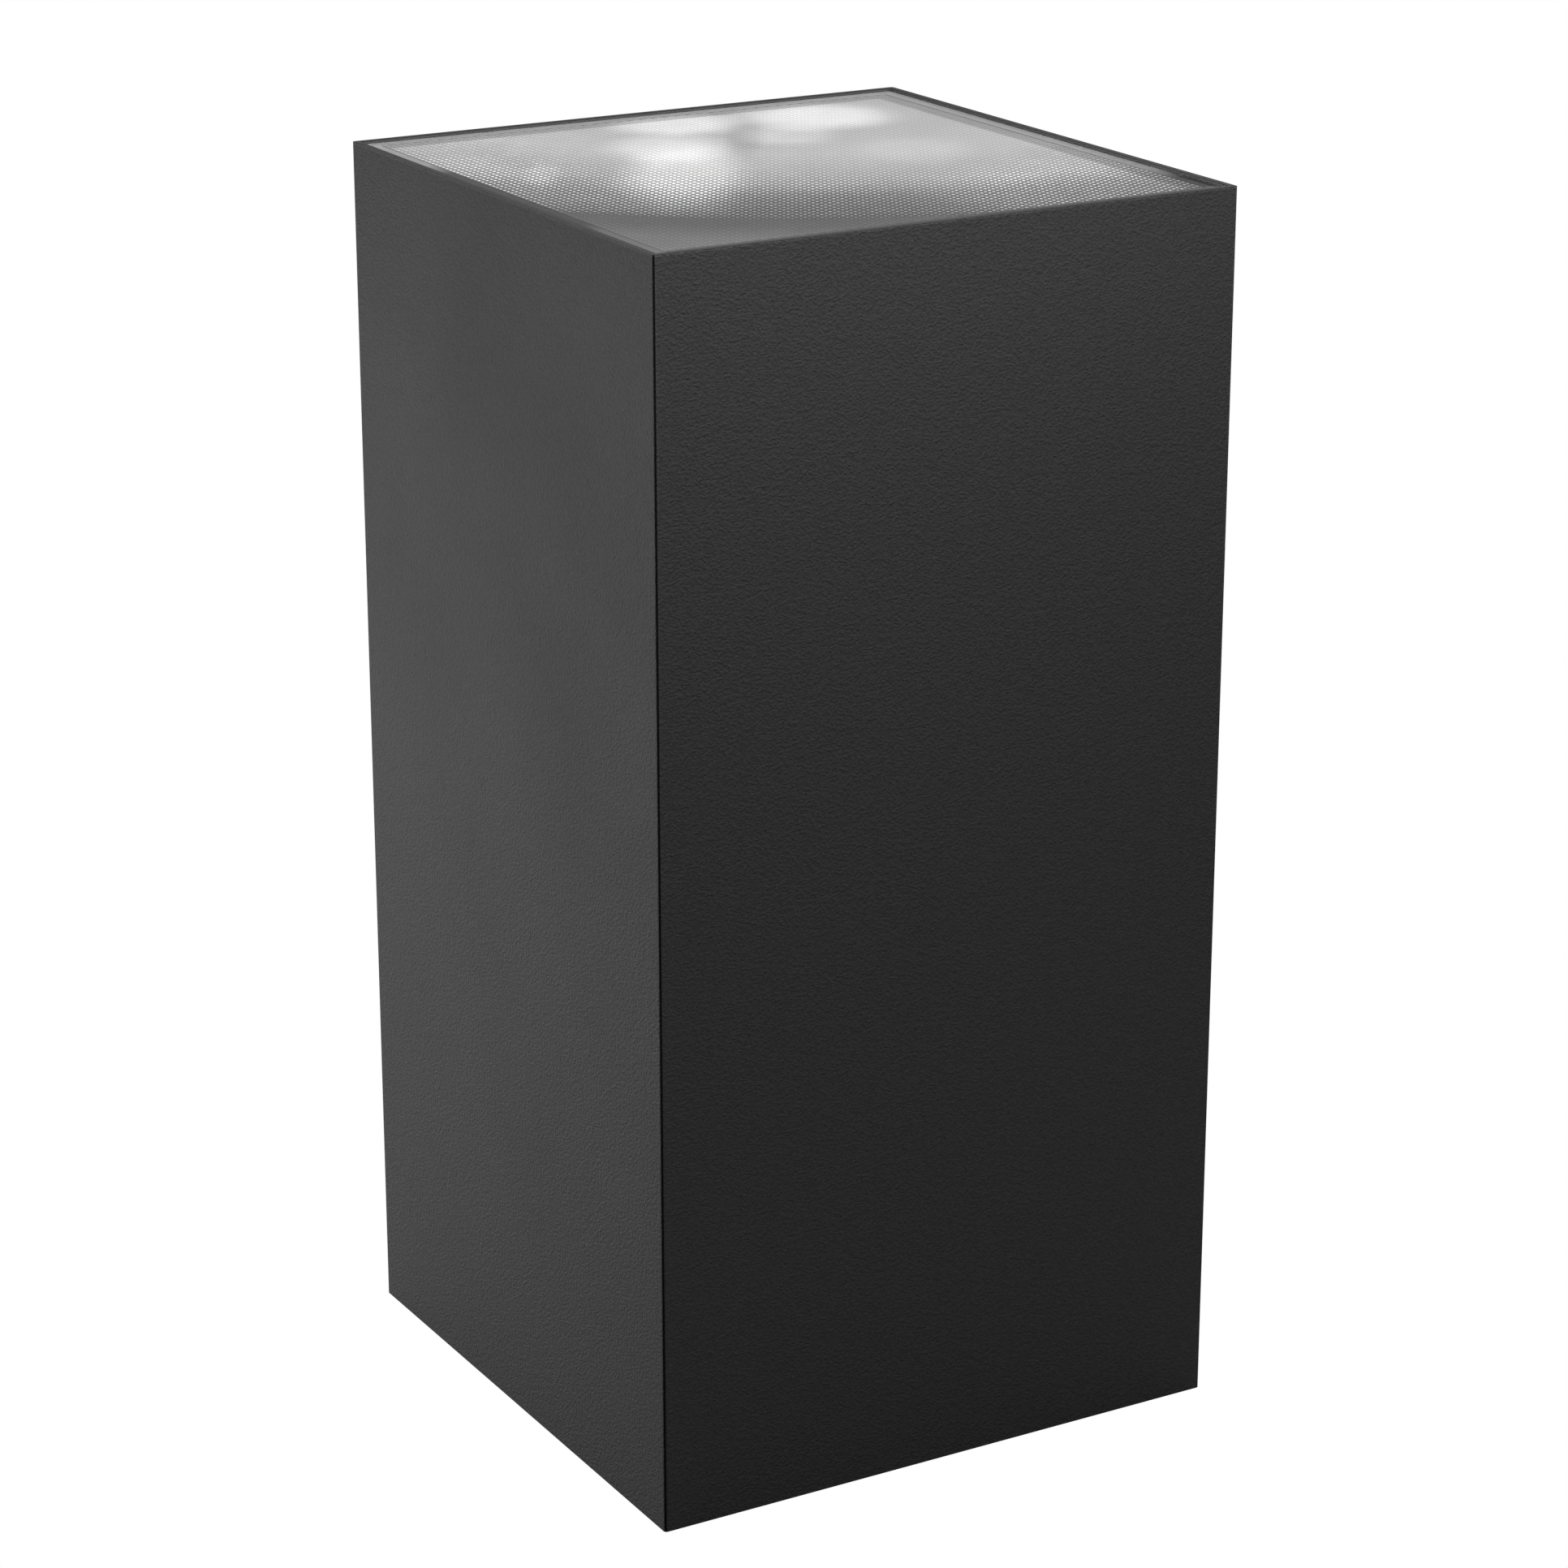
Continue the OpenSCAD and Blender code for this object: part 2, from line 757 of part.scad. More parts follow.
module earth_lead() {
    axis_y = lug_y + lug_t / 2;
    neck = [7, lug_t, 4];
    color("yellowgreen") difference() {
        union() {
            translate([stud_x, lug_y, stud_z]) rotate([-90, 0, 0]) cylinder(r = lug_r, h = lug_t);
            translate([stud_x - neck[0], lug_y, stud_z - neck[2] / 2]) cube(neck);
            translate([poles[2] + earth_bend, axis_y, stud_z]) {
                rotate([0, 90, 0]) lead(earth_r, stud_x - neck[0] + 1 - poles[2] - earth_bend);
                rotate([90, 0, 180]) mirror([0, 0, 1]) bend(earth_r, earth_bend);
            }
            translate([poles[2], axis_y, stud_z + earth_bend]) lead(earth_r, block_z - stud_z - earth_bend);
        }
        translate([stud_x, lug_y - 1, stud_z]) rotate([-90, 0, 0])
            cylinder(r = m4_r + fit_gap, h = lug_t + 2);
    }
}

// ---- plug and socket ----

module lead_socket() {
    mid_x = (plug_x + output_x) / 2;
    color("black") difference() {
        translate([mid_x - socket_half, tray_y + tray_t, socket_z])
            union() {
                cube([2 * socket_half, socket_d, socket_h]);
                translate([plug_x - mid_x + socket_half - socket_tab_w / 2, 0, -socket_tab_h])
                    cube([socket_tab_w, socket_tab_t, socket_tab_h + tiny]);
            }
        translate([plug_x, plug_y, plug_z - 1]) linear_extrude(socket_h)
            square(plug_w + 2 * slide_gap, center = true);
        from_tray_back(plug_x, socket_screw_z) translate([0, 0, -1])
            cylinder(r = m3_r + fit_gap, h = socket_tab_t + 2);
    }
}

// ---- housing ----

module housing() {
    color("dimgray") difference() {
        translate([0, 0, skirt_gap]) linear_extrude(body_h - skirt_gap) difference() {
            rounded_square(body_w, corner_r);
            square(2 * inner_half, center = true);
        }
        grub_places() translate([0, 0, -1]) cylinder(r = grub_r + fit_gap, h = wall_t + 2);
    }
}

// Places on the inner face of the +X and +Y walls, +Z pointing outwards
module grub_places() {
    for (a = [0, 90], j = [-1, 1]) rotate(a) translate([inner_half, j * grub_x, grub_z])
        rotate([0, 90, 0]) children();
}

module stop_tabs() {
    color("lightgray") on_sides() translate([inner_half, -tab_w / 2, bracket_top]) union() {
        translate([-tab_reach, 0, 0]) cube([tab_reach, tab_w, tab_t]);
        translate([-tab_t, 0, 0]) cube([tab_t, tab_w, tab_h]);
    }
}

module weld_nuts() {
    color("lightgray") grub_places() translate([0, 0, -nut_t]) difference() {
        linear_extrude(nut_t) square(nut_w, center = true);
        translate([0, 0, -1]) cylinder(r = grub_r + fit_gap, h = nut_t + 2);
    }
}

// Headless screws, their inner ends just clear of the side brackets
module grub_screws() {
    tip = nut_t + 0.2;
    color("silver") grub_places() translate([0, 0, -tip]) difference() {
        cylinder(r = grub_r, h = tip + wall_t - grub_sink);
        translate([0, 0, tip + wall_t - 3]) hex_prism(grub_key, 4);
    }
}

module head_screw_places() {
    at_corners(head_screw_xy, head_screw_xy) children();
}

// Frame of angle section inside the housing that carries the head
module head_ledge() {
    color("lightgray") difference() {
        union() {
            translate([0, 0, flange_z - ledge_t]) square_ring(inner_half, inner_half - ledge_w, ledge_t);
            translate([0, 0, flange_z - ledge_t - ledge_leg])
                square_ring(inner_half, inner_half - ledge_leg_t, ledge_leg + tiny);
        }
        translate([0, 0, flange_z - ledge_t - 1]) head_screw_places()
            cylinder(r = m4_r + fit_gap, h = ledge_t + 2);
    }
}

// Captive screws, heads under the ledge and shanks up into the head pan
module head_screws() {
    color("silver") translate([0, 0, flange_z - ledge_t]) head_screw_places() mirror([0, 0, 1])
        cap_screw(m4_r, m4_head, ledge_t + head_screw_reach);
}

// ---- head ----

module top_lens() {
    color("lightgray", 0.6) translate([0, 0, lens_z]) linear_extrude(lens_t)
        rounded_square(lens_w, lens_corner);
}

module lens_seal() {
    color("gainsboro") translate([0, 0, seal_z]) square_ring(seal_half, seal_half - seal_w, seal_t);
}

// Height of the bowl's inner face at radius r: a parabola between neck and mouth
function bowl_z(r) = neck_z + bowl_h * pow((r - neck_r) / (reflector_r - neck_r), 2);

module reflector() {
    steps = 12;
    radii = [for (i = [0:steps]) neck_r + (reflector_r - neck_r) * i / steps];
    inner = [for (r = radii) [r, bowl_z(r)]];
    outer = [for (i = [steps:-1:0]) [radii[i] + reflector_t * i / steps, bowl_z(radii[i]) - reflector_t]];
    color("white") union() {
        translate([0, 0, rim_top]) linear_extrude(reflector_t) difference() {
            square(2 * seal_half, center = true);
            circle(reflector_r);
        }
        rotate_extrude() polygon(concat(inner, outer));
    }
}

module head_pan() {
    color("silver") difference() {
        union() {
            translate([0, 0, tub_z]) square_ring(tub_half, tub_half - tub_wall, tub_depth + tiny);
            translate([0, 0, tub_z]) linear_extrude(floor_t) square(2 * tub_half, center = true);
            translate([0, 0, flange_z]) square_ring(rim_half, tub_half - tub_wall, flange_t);
            translate([0, 0, flange_z]) square_ring(rim_half, rim_half - rim_wall, rim_top - flange_z);
            translate([0, 0, flange_z]) head_screw_places() cylinder(r = boss_r, h = rim_top - flange_z);
        }
        translate([0, 0, flange_z - 1]) head_screw_places()
            cylinder(r = m4_r + 0.4, h = head_screw_reach + 1.7);
        translate([0, 0, tub_z - 1]) {
            holder_screw_places() cylinder(r = m3_r + fit_gap, h = floor_t + 2);
            sink_screw_places() cylinder(r = m4_r + fit_gap, h = floor_t);
            translate([vent_x, 0, 0]) cylinder(r = vent_r + fit_gap, h = floor_t + 2);
            translate([plug_x, plug_y, 0]) cylinder(r = lead_gland_r + fit_gap, h = floor_t + 2);
        }
    }
}

module led_chip() {
    color("yellow") translate([0, 0, chip_z]) union() {
        linear_extrude(chip_t) square(chip_w, center = true);
        cylinder(r = phosphor_r, h = chip_t + phosphor_t);
    }
}

module holder_screw_places() {
    for (i = [-1, 1]) translate([i * holder_screw_x, 0, 0]) children();
}

module led_holder() {
    color("white") translate([0, 0, chip_z]) difference() {
        cylinder(r = holder_r, h = holder_h);
        translate([0, 0, -1]) linear_extrude(chip_t + 1 + fit_gap)
            square(chip_w + 2 * fit_gap, center = true);
        cylinder(r = phosphor_r + 0.5, h = holder_h + 1);
        holder_screw_places() {
            translate([0, 0, -1]) cylinder(r = m3_r + fit_gap, h = holder_h + 2);
            translate([0, 0, holder_h - holder_sink])
                cylinder(r = m3_low_head[0] + 0.3, h = holder_sink + 1);
        }
    }
}

module holder_screws() {
    color("silver") translate([0, 0, chip_z + holder_h - holder_sink]) holder_screw_places()
        cap_screw(m3_r, m3_low_head, holder_h - holder_sink + pad_thick + floor_t - 0.5);
}

module thermal_pad() {
    color("lightblue") translate([0, 0, floor_top]) difference() {
        cylinder(r = holder_r + 1, h = pad_thick);
        translate([0, 0, -1]) holder_screw_places() cylinder(r = m3_r + fit_gap, h = pad_thick + 2);
    }
}

// Two wires on the pan's floor, from the lead gland to the holder
module led_wires() {
    reach = norm([plug_x, plug_y]) - holder_r - lead_gland_r;
    color("crimson") rotate(atan2(plug_y, plug_x)) for (j = [-1, 1])
        translate([holder_r, j * wire_x, chip_z + 1]) rotate([0, 90, 0]) lead(wire_r, reach);
}

module sink_screw_places() {
    at_corners(sink_screw_x, sink_screw_y) children();
}

module heat_sink() {
    pitch = (fin_span - fin_t) / (fin_count - 1);
    color("silver") difference() {
        translate([0, sink_w / 2, sink_z]) rotate([90, 0, 0]) linear_extrude(sink_w) {
            translate([-sink_w / 2, 0]) square([sink_w, sink_base_t]);
            for (i = [0:fin_count - 1]) translate([-fin_span / 2 + i * pitch, -fin_h])
                square([fin_t, fin_h + tiny]);
        }
        translate([0, 0, sink_z - 1]) sink_screw_places() cylinder(r = m4_r + fit_gap, h = sink_base_t + 2);
    }
}

module heat_sink_screws() {
    color("silver") translate([0, 0, sink_z]) sink_screw_places() mirror([0, 0, 1])
        cap_screw(m4_r, m4_head, sink_base_t + floor_t - 1.5);
}

module breather_vent() {
    color("black") translate([vent_x, 0, tub_z]) difference() {
        union() {
            translate([0, 0, -vent_head[1]]) cylinder(r = vent_head[0], h = vent_head[1]);
            cylinder(r = vent_r, h = floor_t + 1);
        }
        translate([0, 0, 1 - vent_head[1]]) cylinder(r = vent_r / 2, h = vent_head[1] + floor_t + 1);
    }
}

module lead_gland() {
    color("black") translate([plug_x, plug_y, tub_z]) difference() {
        union() {
            translate([0, 0, -lead_gland_head[1]])
                cylinder(r = lead_gland_head[0], h = lead_gland_head[1]);
            cylinder(r = lead_gland_r, h = floor_t + 2);
        }
        translate([0, 0, -lead_gland_head[1] - 1])
            cylinder(r = head_lead_r + fit_gap, h = lead_gland_head[1] + floor_t + 4);
    }
}

module head_lead() {
    plug_top = plug_z + plug_h;
    color("black") translate([plug_x, plug_y, plug_top]) lead(head_lead_r, floor_top + 2 - plug_top);
}

module lead_plug() {
    shoulder = plug_depth + 2;
    color("dimgray") translate([plug_x, plug_y, plug_z]) union() {
        linear_extrude(shoulder) square(plug_w, center = true);
        translate([0, 0, shoulder]) linear_extrude(collar_h) square(collar_w, center = true);
        translate([0, 0, shoulder]) cylinder(r = boot_r, h = plug_h - shoulder);
    }
}

module socket_screw() {
    color("silver") from_tray_back(plug_x, socket_screw_z) translate([0, 0, socket_tab_t])
        cap_screw(m3_r, m3_head, socket_tab_t + tray_t - fit_gap);
}

ground_pad();
base_plate();
side_brackets();
bracket_screws();
gland_bridge();
bridge_screws();
gland_bodies();
gland_seals();
gland_nuts();
gland_locknuts();
gear_tray();
tray_screws();
grommets();
terminal_block();
terminal_contacts();
terminal_screws();
live_lever();
neutral_lever();
earth_lever();
driver_case();
driver_cover();
driver_board();
driver_transformer();
driver_capacitors();
driver_screws();
input_leads();
output_lead();
surge_protector();
surge_lead();
surge_screws();
earth_stud();
earth_nuts();
earth_lead();
lead_socket();
socket_screw();
housing();
stop_tabs();
weld_nuts();
grub_screws();
head_ledge();
head_screws();
top_lens();
lens_seal();
reflector();
head_pan();
led_chip();
led_holder();
holder_screws();
thermal_pad();
led_wires();
heat_sink();
heat_sink_screws();
breather_vent();
lead_gland();
head_lead();
lead_plug();
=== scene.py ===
# Bollard light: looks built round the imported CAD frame.
# Metres, +Z up, origin on the ground under the middle.

import json
import math

import bpy
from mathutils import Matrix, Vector


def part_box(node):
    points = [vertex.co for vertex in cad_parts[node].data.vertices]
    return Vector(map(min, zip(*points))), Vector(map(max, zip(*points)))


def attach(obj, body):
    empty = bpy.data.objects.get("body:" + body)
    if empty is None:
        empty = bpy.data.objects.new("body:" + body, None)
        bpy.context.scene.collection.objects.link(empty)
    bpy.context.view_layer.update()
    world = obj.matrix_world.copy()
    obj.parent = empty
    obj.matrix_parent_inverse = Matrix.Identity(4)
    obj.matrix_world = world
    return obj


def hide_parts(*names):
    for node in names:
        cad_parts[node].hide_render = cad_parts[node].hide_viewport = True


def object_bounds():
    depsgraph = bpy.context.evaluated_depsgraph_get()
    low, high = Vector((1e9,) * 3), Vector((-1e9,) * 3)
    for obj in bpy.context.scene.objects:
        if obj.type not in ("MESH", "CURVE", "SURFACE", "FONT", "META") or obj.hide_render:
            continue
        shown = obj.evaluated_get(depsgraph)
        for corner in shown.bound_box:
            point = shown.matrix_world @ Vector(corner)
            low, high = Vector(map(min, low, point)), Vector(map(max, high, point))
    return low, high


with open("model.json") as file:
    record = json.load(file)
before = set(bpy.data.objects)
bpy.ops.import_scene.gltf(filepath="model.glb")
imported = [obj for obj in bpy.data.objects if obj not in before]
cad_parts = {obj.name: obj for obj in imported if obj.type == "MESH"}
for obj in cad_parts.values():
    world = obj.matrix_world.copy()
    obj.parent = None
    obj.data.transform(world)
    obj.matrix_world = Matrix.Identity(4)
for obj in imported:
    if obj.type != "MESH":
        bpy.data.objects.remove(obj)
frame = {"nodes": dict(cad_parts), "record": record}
NODES = frame["nodes"]
CAD_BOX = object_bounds()

MM = 0.001
BODY_LOW, BODY_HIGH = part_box("housing")
BODY_W = BODY_HIGH.x - BODY_LOW.x
LENS_LOW, LENS_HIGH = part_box("top_lens")

# Camera: angles in degrees, lens and sensor in millimetres, far limit in metres, and distance and
# drop as multiples of the body's width
CAMERA_AZIMUTH = -30.0
CAMERA_ELEVATION = 18.7
CAMERA_DISTANCE = 7.19
CAMERA_DROP = 0.0099
CAMERA_LENS = 102.3
CAMERA_SENSOR = 36.0
CAMERA_FAR = 100.0

# Lens: a clear skin over a field of hexagonal domes, with a plain margin round it
DOME_PITCH = 1.85 * MM
DOME_RELIEF = 0.10 * MM
# Rings of a dome, as shares of its radius and its height
DOME_PROFILE = [(1.0, 0.0), (0.72, 0.62), (0.38, 0.92)]
FIELD_DEPTH = 0.05 * MM
LENS_MARGIN = 3.7 * MM
GROOVE_W = 0.50 * MM
GROOVE_DEPTH = 0.15 * MM
LENS_CORNER = 1.0 * MM
LENS_CORNER_LEAST = 0.05 * MM
LENS_CORNER_STEPS = 6
LENS_EDGE = 0.15 * MM
FIELD_TOP = LENS_HIGH.z - FIELD_DEPTH

# Rounding of edges: the housing's, and those of other CAD nodes in millimetres
EDGE_BEVEL = 0.40 * MM
SOFT_EDGES = {
    "ground_pad": 0.3, "base_plate": 0.6, "side_brackets": 0.25, "gland_bridge": 0.25, "gear_tray": 0.2,
    "terminal_block": 0.25, "driver_case": 0.7, "driver_cover": 0.4, "surge_protector": 0.6,
    "lead_socket": 0.4, "lead_plug": 0.3, "live_lever": 0.25, "neutral_lever": 0.25, "earth_lever": 0.25,
    "head_ledge": 0.2, "head_pan": 0.5, "heat_sink": 0.2, "led_holder": 0.2, "stop_tabs": 0.2,
    "gland_nuts": 0.3, "gland_locknuts": 0.25, "gland_bodies": 0.2,
}

# Shader places, in millimetres
HALF_MM = 500 * BODY_W
TOP_MM = 1000 * BODY_HIGH.z
FIELD_TOP_MM = 1000 * FIELD_TOP

# Coat: its colour and grain, then painted shade on its upright corners and on its rim, a painted
# highlight on the rounded edge of the rim, and painted light at the foot of the wall's inner face over the
# lens
COAT = (0.059, 0.059, 0.060)
COAT_SPECULAR = 0.07
WRINKLE = 0.65 * MM
GRAIN_DEPTH = 0.45 * MM
CORNER_PAINTED_SHADE = 0.06
RIM_PAINTED_SHADE = 0.20
LIP_PAINTED_HIGHLIGHT = 1.5
SPILL_PAINTED_LIGHT = 2.8
# Thickness of the housing's wall
WALL_MM = 1.6

# Dome field's painted light: its bands run across a heading from +X, out to this reach each side of the
# middle
FIELD_HEADING = 60.0
FIELD_REACH_MM = 100.0
# How far the bands bow towards the far corner, per millimetre squared
FIELD_BOW = 0.0035
# From the near corner to the far one: painted light, and the swing of painted shade and highlight between a
# dome's foot and its top
FIELD_PAINTED_LIGHT = [(0.0, 0.20), (0.09, 0.17), (0.15, 0.11), (0.19, 0.10), (0.215, 0.14), (0.25, 0.155),
                (0.29, 0.18), (0.325, 0.22), (0.365, 0.31), (0.40, 0.375), (0.46, 0.42), (0.575, 0.485),
                (0.70, 0.445), (1.0, 0.395)]
FIELD_PAINTED_SWING = [(0.0, 0.7), (0.185, 0.7), (0.20, 3.6), (0.32, 3.6), (0.40, 2.2), (0.48, 1.0),
                  (0.60, 0.5), (1.0, 0.35)]
# Where the dim near corner gives way to the lit field
LIT_FROM, LIT_TO = 0.185, 0.205
# Share of a dome's height, from its top, over which it brightens with a painted highlight, and how far
# through that it is level
DOME_CAP = 0.18
SWING_MIDDLE = 0.14
# Painted pools of light, in metres: centre, half length, half width, heading in degrees, strength
PAINTED_LIGHT_POOLS = [
    ((0.004, 0.060), 0.021, 0.020, -30, 0.24), ((0.039, 0.052), 0.025, 0.023, -30, 0.27),
    ((-0.025, 0.003), 0.018, 0.045, -30, 0.21), ((-0.013, 0.033), 0.019, 0.024, -30, 0.17),
    ((0.020, 0.034), 0.015, 0.018, -30, 0.12), ((0.011, 0.038), 0.006, 0.034, -30, -0.08),
    ((-0.053, 0.019), 0.006, 0.018, -30, 0.08), ((-0.064, 0.014), 0.014, 0.050, 0, 0.08),
    ((0.036, 0.002), 0.018, 0.022, -30, 0.05), ((0.044, -0.056), 0.046, 0.042, 0, 0.09),
    ((-0.043, -0.018), 0.022, 0.030, 0, 0.09),
]
# Far sides of the field, shaded by the pan's rim
SHADE_FROM_MM = 65.0
SHADE_TONE = 0.66

# Margin, painted light and shade over the seal: the far side's brightness, then (position, brightness) along
# each other side, towards +X or +Y
MARGIN_BACK = 0.31
MARGIN_LEFT = [(0.0, 0.17), (0.20, 0.13), (0.26, 0.035), (0.70, 0.035), (0.78, 0.30), (1.0, 0.33)]
MARGIN_FRONT = [(0.0, 0.11), (0.25, 0.10), (0.6, 0.06), (1.0, 0.10)]
MARGIN_RIGHT = [(0.0, 0.01), (0.12, 0.012), (0.20, 0.25), (0.40, 0.31), (1.0, 0.27)]
# Painted shade in the groove, as a share of the margin's brightness
GROOVE_PAINTED_SHADE = 0.15
LENS_SPECULAR = 0.1

# Lamps: name, place, aim, size, watts
LAMPS = [
    ("left", (-0.43, 0.39, 0.10), (0, 0, 0.05), (0.30, 0.20), 2.25),
    ("front", (-0.03, -0.185, 0.42), (-0.03, -0.075, 0.10), (0.40, 0.06), 0.47),
    ("overhead", (0.20, 0.35, 1.20), (0, 0, 0.30), (0.9, 0.9), 21.0),
    ("right", (1.00, 0.40, 0.50), (0, 0, 0.15), (0.6, 0.8), 4.0),
]
WORLD_LIGHT = 0.25
FLOOR_BOUNCE = 0.20
FLOOR_HALF = 12.0
FLOOR_GAP = 0.05 * MM

# Generic finishes, by slot
SURFACES = {
    "pale_silicone": dict(color=(0.42, 0.42, 0.42), rough=0.6, spread=0.04),
    "reflector_white": dict(color=(0.80, 0.80, 0.80), rough=0.32, spread=0.03, depth=0.01 * MM),
    "die_cast": dict(color=(0.45, 0.46, 0.47), rough=0.5, metallic=0.85, grain=0.8 * MM, spread=0.15,
                     depth=0.05 * MM),
    "extruded_aluminium": dict(color=(0.62, 0.63, 0.64), rough=0.36, metallic=1.0, grain=0.6 * MM,
                               spread=0.1, stretch=(1, 0.04, 1)),
    "cast_base": dict(color=(0.40, 0.41, 0.42), rough=0.55, metallic=0.8, grain=1.1 * MM, spread=0.18,
                      depth=0.08 * MM),
    "zinc_steel": dict(color=(0.58, 0.60, 0.62), rough=0.38, metallic=1.0, grain=2.5 * MM, spread=0.14,
                       depth=0.01 * MM, stretch=(1, 1, 0.12)),
    "steel_fasteners": dict(color=(0.62, 0.62, 0.62), rough=0.3, metallic=1.0, grain=0.5 * MM, spread=0.08),
    "dark_screws": dict(color=(0.05, 0.05, 0.052), rough=0.4, metallic=0.9, grain=0.5 * MM, spread=0.15),
    "black_rubber": dict(color=(0.022, 0.022, 0.022), rough=0.75, grain=0.7 * MM, depth=0.04 * MM),
    "black_plastic": dict(color=(0.035, 0.035, 0.036), rough=0.5, grain=0.5 * MM),
    "cable_sheath": dict(color=(0.03, 0.03, 0.03), rough=0.55, grain=0.6 * MM),
    "earth_sheath": dict(color=(0.30, 0.50, 0.05), rough=0.45, grain=0.6 * MM),
    "wire_red": dict(color=(0.55, 0.04, 0.03), rough=0.4, grain=0.6 * MM),
    "block_plastic": dict(color=(0.55, 0.56, 0.56), rough=0.45, grain=0.6 * MM, spread=0.06),
    "lever_plastic": dict(color=(0.80, 0.22, 0.03), rough=0.4, grain=0.6 * MM, spread=0.06),
    "brass": dict(color=(0.80, 0.60, 0.25), rough=0.3, metallic=1.0, grain=0.6 * MM, spread=0.1),
    "driver_plastic": dict(color=(0.74, 0.74, 0.72), rough=0.45, grain=0.7 * MM, spread=0.04),
    "circuit_board": dict(color=(0.03, 0.16, 0.07), rough=0.35, grain=2.0 * MM, spread=0.2),
    "winding": dict(color=(0.55, 0.40, 0.10), rough=0.4, grain=0.8 * MM, stretch=(1, 1, 6)),
    "capacitor": dict(color=(0.05, 0.06, 0.16), rough=0.25, grain=0.8 * MM, coat=0.3),
    "surge_plastic": dict(color=(0.16, 0.17, 0.18), rough=0.5, grain=0.6 * MM),
    "phosphor": dict(color=(0.85, 0.62, 0.12), rough=0.6, grain=0.4 * MM, spread=0.08),
    "holder_plastic": dict(color=(0.75, 0.75, 0.75), rough=0.45, grain=0.6 * MM, spread=0.04),
    "thermal_silicone": dict(color=(0.35, 0.50, 0.60), rough=0.7, grain=0.5 * MM),
}
# Patches in the generic finishes: their size, share of the colour, and spread of the gloss
PATCH_SIZE = 22 * MM
PATCH_SHARE = 0.45
ROUGH_SPREAD = 0.08


# ---- shader helpers ----

class Tree:
    """Node tree of a material or world, with short calls for the nodes that the finishes use."""

    def __init__(self, owner):
        owner.use_nodes = True
        self.owner = owner
        self.nodes, self.links = owner.node_tree.nodes, owner.node_tree.links

    def put(self, socket, value):
        """Links an output to a socket, or sets the socket to a plain value."""
        if isinstance(value, bpy.types.NodeSocket):
            self.links.new(value, socket)
        else:
            socket.default_value = value

    def node(self, kind, inputs, **settings):
        """Outputs of a new node, made with these settings and inputs."""
        node = self.nodes.new("ShaderNode" + kind)
        for key, value in settings.items():
            setattr(node, key, value)
        for key, value in inputs.items():
            self.put(node.inputs[key], value)
        return node.outputs

    def principled(self, inputs):
        """Sets or links inputs of the Principled shader; returns the material."""
        for key, value in inputs.items():
            self.put(self.nodes["Principled BSDF"].inputs[key], value)
        return self.owner

    def show(self, shader, default="Principled BSDF", output="Material Output"):
        """Shows another shader in place of the default one; returns the material or world."""
        self.nodes.remove(self.nodes[default])
        self.put(self.nodes[output].inputs["Surface"], shader)
        return self.owner

    def coords(self, stretch=(1, 1, 1)):
        """Object coordinates, stretched along the axes."""
        place = self.node("TexCoord", {})["Object"]
        return self.node("Mapping", {"Vector": place, "Scale": stretch})["Vector"]

    def axes_mm(self):
        """Object coordinates in millimetres as separate x, y and z."""
        split = self.node("SeparateXYZ", {"Vector": self.coords((1000, 1000, 1000))})
        return split["X"], split["Y"], split["Z"]

    def noise(self, size, detail=2.0, distortion=0.0, stretch=(1, 1, 1)):
        """Noise whose features are about `size` metres across."""
        inputs = {"Vector": self.coords(stretch), "Scale": 1.0 / size, "Detail": detail,
                  "Roughness": 0.5, "Distortion": distortion}
        return self.node("TexNoise", inputs)["Fac"]

    def math(self, operation, a, b=0.0):
        """Maths on outputs or numbers."""
        return self.node("Math", {0: a, 1: b}, operation=operation)["Value"]

    def times(self, a, b):
        return self.math("MULTIPLY", a, b)

    def remap(self, value, low, high, from_low=0.3, from_high=0.7):
        """Value stretched from one range to another, clamped."""
        inputs = {"Value": value, "From Min": from_low, "From Max": from_high, "To Min": low, "To Max": high}
        return self.node("MapRange", inputs)["Result"]

    def step(self, value, start, end):
        """0 before `start`, 1 after `end`, eased between."""
        inputs = {"Value": value, "From Min": start, "From Max": end}
        return self.node("MapRange", inputs, interpolation_type="SMOOTHSTEP")["Result"]

    def toned(self, mask, tone):
        """1 where the mask is 0, and `tone` where it is 1."""
        return self.remap(mask, 1.0, tone, 0, 1)

    def blend(self, a, b, factor):
        """Value a where the factor is 0 and b where it is 1."""
        return self.node("Mix", {"Factor": factor, "A": a, "B": b}, data_type="FLOAT")["Result"]

    def scaled(self, color, factor):
        """Colour multiplied by a factor."""
        return self.node("VectorMath", {0: color, "Scale": factor}, operation="SCALE")["Vector"]

    def ramp(self, value, points):
        """Straight-line ramp through (position, colour) points."""
        node = self.nodes.new("ShaderNodeValToRGB")
        elements = node.color_ramp.elements
        while len(elements) < len(points):
            elements.new(0.5)
        for element, (position, color) in zip(elements, points):
            element.position = position
            element.color = (*color, 1)
        self.put(node.inputs["Fac"], value)
        return node.outputs["Color"]

    def greys(self, value, points):
        """Ramp through (position, grey) points."""
        return self.ramp(value, [(position, (grey, grey, grey)) for position, grey in points])

    def tint(self, value, color, spread):
        """Colour that goes from darker to lighter by `spread` as the value rises through its middle."""
        return self.ramp(value, [(0.35, shade(color, 1 - spread)), (0.65, shade(color, 1 + spread))])

    def bump(self, height, depth, over=None):
        """Bump of the given depth in metres, over another bump if one is given."""
        inputs = {"Strength": 1.0, "Distance": depth, "Height": height}
        if over is not None:
            inputs["Normal"] = over
        return self.node("Bump", inputs)["Normal"]


def material(name):
    """Tree of a new material."""
    return Tree(bpy.data.materials.new(name))


def shade(color, factor):
    return tuple(min(1.0, c * factor) for c in color)


# ---- materials ----

